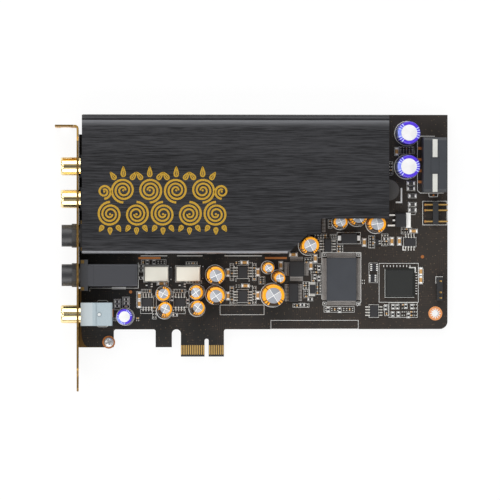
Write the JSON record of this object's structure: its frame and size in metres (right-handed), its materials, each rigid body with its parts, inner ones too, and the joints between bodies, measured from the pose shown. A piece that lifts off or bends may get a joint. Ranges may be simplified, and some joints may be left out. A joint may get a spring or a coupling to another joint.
{
  "type": "pci sound card",
  "caption": "Half-length sound card with a keyed x1 edge tab, gold slot bracket with phono and 6.35 mm jacks, a folded black shield cover and a power socket.",
  "frame": {"origin": "middle of the base of the card as it lies flat on its solder side", "axes": "+X from the slot bracket along the card, +Y from the edge contacts to the card's top edge, +Z out of the component side"},
  "size_m": [0.1784, 0.1252, 0.0184],
  "materials": {
    "board": "matte solder mask, very dark brown",
    "contact_gold": "gold plated",
    "bare_copper": "bare copper",
    "bracket_gold": "gold plated steel",
    "screw_steel": "satin",
    "cover_black": "brushed black",
    "shell_gold": "gold plated",
    "socket_dark": "matte",
    "socket_pale": "satin",
    "sleeve_orange": "gloss sleeve",
    "sleeve_purple": "gloss sleeve",
    "film_red": "gloss",
    "relay_white": "satin",
    "chip_black": "matte",
    "tinned_lead": "tinned",
    "processor_grey": "matte",
    "laminate_green": "matte",
    "solder": "bright solder",
    "ferrite": "matte",
    "chip_tan": "satin",
    "resistor_black": "satin",
    "bar_pale": "satin",
    "header_black": "matte"
  },
  "bodies": {
    "root": {"circuit_board": "board", "edge_contacts": "contact_gold", "ground_strips": "bare_copper", "slot_bracket": "bracket_gold", "bracket_screw": "screw_steel", "shield_cover": "cover_black", "phono_shells": "shell_gold", "phono_contacts": "contact_gold", "line_out_housings": "socket_dark", "digital_out_housing": "socket_pale", "jack_bodies": "socket_dark", "jack_nuts": "socket_dark", "jack_corner_clips": "contact_gold", "jack_tip_contacts": "contact_gold", "audio_capacitors": "sleeve_orange", "supply_capacitors": "sleeve_purple", "film_capacitors": "film_red", "signal_relays": "relay_white", "amplifier_sockets": "socket_dark", "output_amplifiers": "chip_black", "amplifier_chips": "chip_black", "amplifier_leads": "tinned_lead", "logic_chips": "chip_black", "logic_leads": "tinned_lead", "converter_chip": "chip_black", "receiver_chip": "chip_black", "sound_processor": "processor_grey", "output_converter": "chip_black", "bridge_laminate": "laminate_green", "bus_bridge": "chip_black", "bridge_solder": "solder", "voltage_regulator": "chip_black", "regulator_leads": "tinned_lead", "power_diode": "chip_black", "power_diode_terminals": "tinned_lead", "polarised_chip": "chip_black", "polarised_chip_terminals": "tinned_lead", "power_inductor": "ferrite", "transistors": "chip_black", "chip_capacitors": "chip_tan", "chip_resistors": "resistor_black", "resistor_networks": "resistor_black", "clamp_diodes": "chip_black", "power_socket": "socket_dark", "power_socket_bars": "bar_pale", "power_pins": "tinned_lead", "power_tails": "tinned_lead", "side_header": "header_black", "side_header_pins": "contact_gold", "upright_header": "header_black", "upright_header_pins": "contact_gold", "solder_joints": "solder"}
  },
  "joints": []
}
